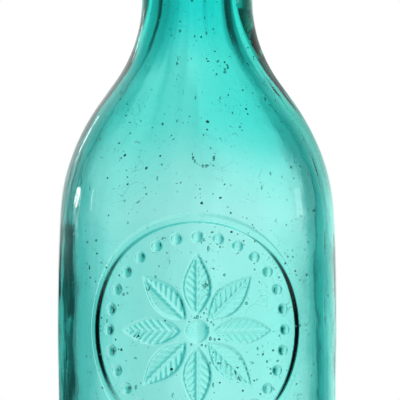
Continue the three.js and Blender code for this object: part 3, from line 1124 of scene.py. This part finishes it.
FLOOR_RADIUS = 0.36
FLOOR_SIDES = 96
FLOOR_DROP = 0.1 * MM
FLOOR_COLOUR = (0.86, 0.86, 0.85, 1)
FLOOR_ROUGHNESS = 0.7
FLOOR_FADE = [(0.08, 0), (0.35, 1)]

# Lamps: place, size and power
LAMP_AIM = (0, 0, 0.11)
OVERHEAD = ((-0.1, 0.1, 0.9), (0.5, 0.5), 2)
WINDOWS = {
    "window": ((-0.55, 0.3, 0.185), (0.04, 0.06), 0.1),
    "window_glow": ((-0.55, 0.3, 0.165), (0.09, 0.1), 0.035),
    "side_window": ((-0.62, 0.09, 0.2), (0.014, 0.07), 0.015),
    "far_window": ((-0.4, 0.53, 0.31), (0.02, 0.14), 0.035),
    "right_window": ((0.62, 0.03, 0.2), (0.08, 0.1), 0.035),
}


def wall_colour(level):
    """Light walls are white, and darker ones lean to teal."""
    return (level * min(1, (level / NEUTRAL_LEVEL) ** TEAL_LEAN), level, level)


def mirrored_colour(level):
    return tuple(level * share for share in MIRRORED_TINT)


def add_world():
    """White to the eye; glass and metal see a white backdrop with soft darker gaps beside it."""
    world = bpy.data.worlds.new("studio")
    bpy.context.scene.world = world
    world.use_nodes = True
    nodes = Nodes(world.node_tree)
    path = nodes.add("LightPath").outputs
    way = nodes.split(nodes.add("TexCoord").outputs["Generated"])
    azimuth = nodes.math("ARCTAN2", way["X"], way["Y"])
    # Both run from 0 to 1: round from the front by the left, with straight behind at a half, and upwards
    turn = nodes.math("ADD", nodes.math("DIVIDE", azimuth, 2 * math.pi), 0.5)
    rise = nodes.math("ADD", nodes.math("MULTIPLY", way["Z"], 0.5), 0.5)

    def around(levels, colour):
        return nodes.ramp(turn, [(place / 360 + 0.5, colour(level)) for place, level in levels])

    def room(colour, walls, ceiling, eye_level, ceiling_foot):
        low = around([(place, level) for place, level, _ in walls], colour)
        high = around([(place, level) for place, _, level in walls], colour)
        above = nodes.ramp(rise, grey_stops(eye_level))
        overhead = nodes.ramp(rise, grey_stops(ceiling_foot))
        return nodes.mix(overhead, nodes.mix(above, low, high), around(ceiling, colour))

    mirrored = room(
        mirrored_colour, MIRRORED, MIRRORED_CEILING, MIRRORED_EYE_LEVEL, MIRRORED_CEILING_FOOT)
    seen_through = room(
        wall_colour, SURROUNDINGS, SEEN_CEILING, SEEN_EYE_LEVEL, SEEN_CEILING_FOOT)
    seen = nodes.mix(path["Is Glossy Ray"], grey(PLAIN_LEVEL), mirrored)
    seen = nodes.mix(path["Is Transmission Ray"], seen, seen_through)
    seen = nodes.mix(path["Is Camera Ray"], seen, grey(1))
    background = nodes.add("Background")
    nodes.link(seen, background, "Color")
    output = nodes.add("OutputWorld")
    nodes.link(background.outputs["Background"], output, "Surface")


def add_floor():
    """A pale round floor, a hair below the glass, that fades away towards its rim."""
    bpy.ops.mesh.primitive_circle_add(
        vertices=FLOOR_SIDES, radius=FLOOR_RADIUS, fill_type="NGON", location=(0, 0, -FLOOR_DROP))
    floor = bpy.context.object
    floor.name = "floor"
    material, nodes, shader, output, place = new_material("floor")
    shader.inputs["Base Color"].default_value = FLOOR_COLOUR
    shader.inputs["Roughness"].default_value = FLOOR_ROUGHNESS
    distance = nodes.add("VectorMath", operation="LENGTH")
    nodes.link(place, distance, 0)
    fade = nodes.ramp(distance.outputs["Value"], grey_stops(FLOOR_FADE))
    clear = nodes.add("BsdfTransparent")
    blend = nodes.add("MixShader")
    nodes.link(fade, blend, 0)
    nodes.link(shader.outputs["BSDF"], blend, 1)
    nodes.link(clear.outputs["BSDF"], blend, 2)
    nodes.link(blend.outputs["Shader"], output, "Surface")
    floor.data.materials.append(material)


def add_lamp(name, place, size, power):
    """A rectangular lamp aimed at the bottle, seen by no camera and through no glass."""
    lamp = bpy.data.lights.new(name, "AREA")
    lamp.shape = "RECTANGLE"
    lamp.size, lamp.size_y = size
    lamp.energy = power
    holder = bpy.data.objects.new(name, lamp)
    bpy.context.scene.collection.objects.link(holder)
    holder.location = place
    holder.rotation_euler = (Vector(LAMP_AIM) - Vector(place)).to_track_quat("-Z", "Y").to_euler()
    holder.visible_camera = False
    holder.visible_transmission = False
    return holder


def add_lights():
    """Soft light from above, and bright windows that show as highlights on the glass."""
    overhead = add_lamp("overhead", *OVERHEAD)
    overhead.visible_glossy = False
    for name, window in WINDOWS.items():
        add_lamp(name, *window)


def add_camera():
    """A long lens, level with the shoulder and square to the front, as in the photograph."""
    camera = bpy.data.cameras.new("photograph")
    camera.lens = FOCAL_LENGTH
    camera.sensor_width = SENSOR_WIDTH
    camera.clip_start = CLIP_START
    holder = bpy.data.objects.new("photograph", camera)
    bpy.context.scene.collection.objects.link(holder)
    distance = FRAME_WIDTH * FOCAL_LENGTH / SENSOR_WIDTH
    holder.location = (FRAME_CENTRE[0], -distance, FRAME_CENTRE[1])
    holder.rotation_euler = (math.pi / 2, 0, 0)
    bpy.context.scene.camera = holder


def add_object():
    """Each sub-part, riding on its body."""
    glass = glass_material()
    wire = wire_material()
    add_piece("bottle_glass", glass_body_mesh(), glass, "bottle", "glass_body")
    add_piece("lip_glass", blob_lip_mesh(), glass, "bottle", "blob_lip")
    add_piece("cork", cork_mesh(), cork_material(), "cork", "cork_stopper")
    add_piece("neck_wire_form", neck_wire_mesh(), wire, "bottle", "neck_wire")
    add_piece("bail_form", bail_mesh(), wire, "bail", "wire_bail")


bpy.context.scene.view_settings.view_transform = "Standard"
add_camera()
add_world()
add_floor()
add_lights()
add_object()
